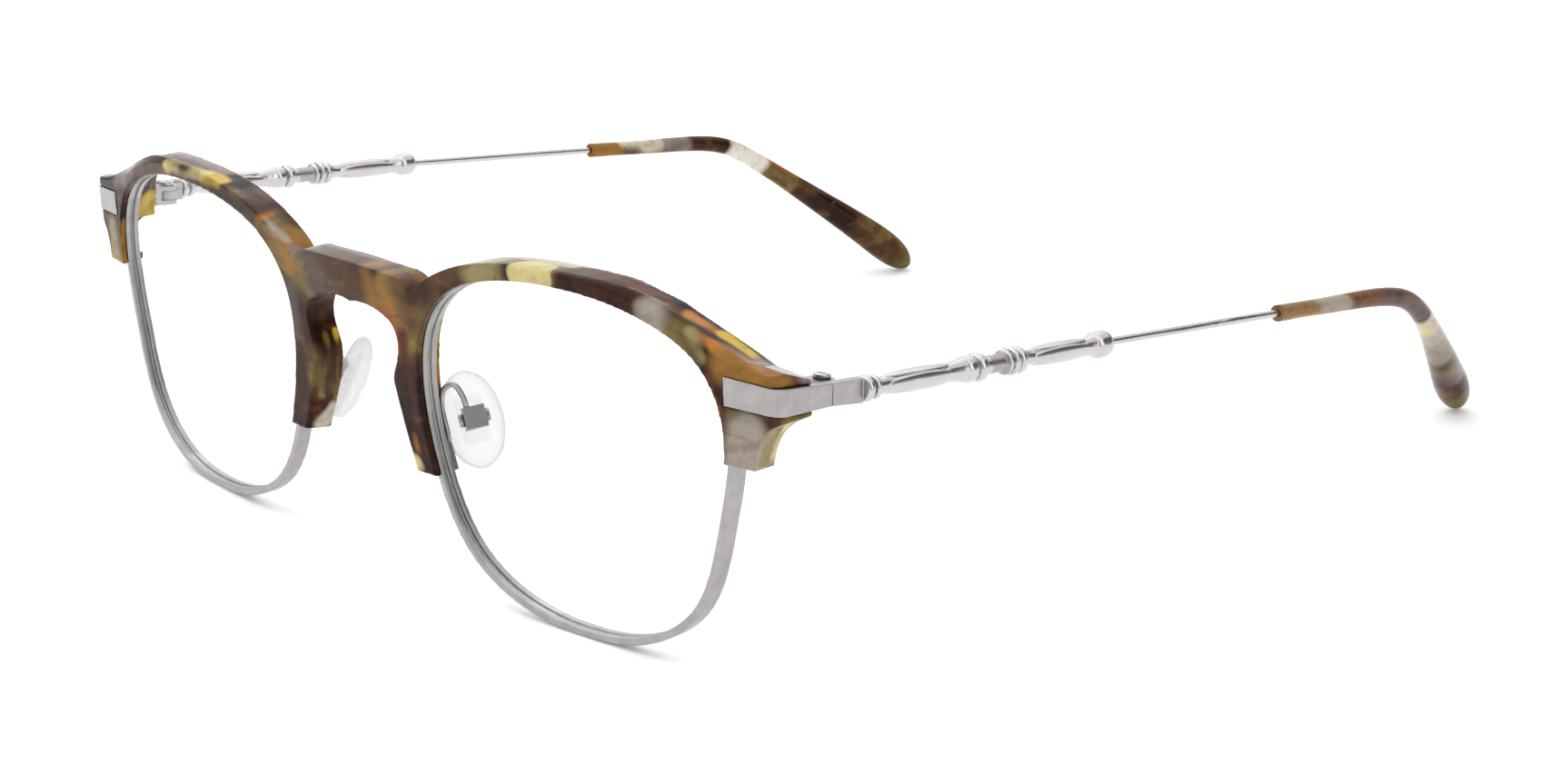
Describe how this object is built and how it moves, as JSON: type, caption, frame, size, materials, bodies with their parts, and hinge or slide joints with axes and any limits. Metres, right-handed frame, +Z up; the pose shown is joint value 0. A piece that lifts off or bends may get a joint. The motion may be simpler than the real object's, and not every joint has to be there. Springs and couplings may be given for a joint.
{
  "type": "half rim eyeglasses",
  "caption": "Half rim eyeglasses: tortoise acetate brow front, thin metal eyewires, corner straps with hinges, ornamental metal temples with acetate tips, and rocking clear nose pads.",
  "frame": {"origin": "on the table under the middle of the open glasses' bounding box: rim bottoms and temple tips stand at Z = 0", "axes": "+X to the wearer's left, +Y back along the temples towards the ears, +Z up from the table"},
  "size_m": [0.1436, 0.1534, 0.0446],
  "materials": {
    "tortoise_acetate": "polished, mottled brown, olive and amber",
    "satin_metal": "satin",
    "polished_metal": "polished",
    "lens": "clear polished",
    "clear_pad": "clear soft silicone",
    "clear_insert": "clear hard plastic"
  },
  "bodies": {
    "front": {"brow_chassis": "tortoise_acetate", "left_endpiece": "satin_metal", "left_endpiece_screws": "satin_metal", "left_eyewire": "satin_metal", "left_lens": "lens", "left_closing_block_upper": "satin_metal", "left_closing_block_lower": "satin_metal", "left_closing_screw": "satin_metal", "left_hinge_front_leaf": "satin_metal", "left_hinge_screw": "satin_metal", "left_hinge_washers": "satin_metal", "left_pad_arm": "polished_metal", "left_pad_box": "polished_metal", "left_pad_screw": "polished_metal", "right_endpiece": "satin_metal", "right_endpiece_screws": "satin_metal", "right_eyewire": "satin_metal", "right_lens": "lens", "right_closing_block_upper": "satin_metal", "right_closing_block_lower": "satin_metal", "right_closing_screw": "satin_metal", "right_hinge_front_leaf": "satin_metal", "right_hinge_screw": "satin_metal", "right_hinge_washers": "satin_metal", "right_pad_arm": "polished_metal", "right_pad_box": "polished_metal", "right_pad_screw": "polished_metal"},
    "left_temple": {"left_hinge_temple_leaf": "satin_metal", "left_temple_casting": "polished_metal", "left_temple_wire": "polished_metal", "left_temple_tip": "tortoise_acetate"},
    "right_temple": {"right_hinge_temple_leaf": "satin_metal", "right_temple_casting": "polished_metal", "right_temple_wire": "polished_metal", "right_temple_tip": "tortoise_acetate"},
    "left_pad": {"left_pad_insert": "clear_insert", "left_nose_pad": "clear_pad"},
    "right_pad": {"right_pad_insert": "clear_insert", "right_nose_pad": "clear_pad"}
  },
  "joints": [
    {"name": "left_temple_hinge", "type": "hinge", "parent": "front", "child": "left_temple", "pos_m": [0.0675, -0.06043, 0.03575], "axis": [0, 0.0927, 0.9957], "range_deg": [0, 76]},
    {"name": "right_temple_hinge", "type": "hinge", "parent": "front", "child": "right_temple", "pos_m": [-0.0675, -0.06043, 0.03575], "axis": [0, -0.0927, -0.9957], "range_deg": [0, 87.5]},
    {"name": "left_pad_rock", "type": "hinge", "parent": "front", "child": "left_pad", "pos_m": [0.0146, -0.06902, 0.02068], "axis": [0.4405, 0.8832, 0.1607], "range_deg": [-10, 10]},
    {"name": "right_pad_rock", "type": "hinge", "parent": "front", "child": "right_pad", "pos_m": [-0.0146, -0.06902, 0.02068], "axis": [0.4405, -0.8832, -0.1607], "range_deg": [-10, 10]}
  ]
}
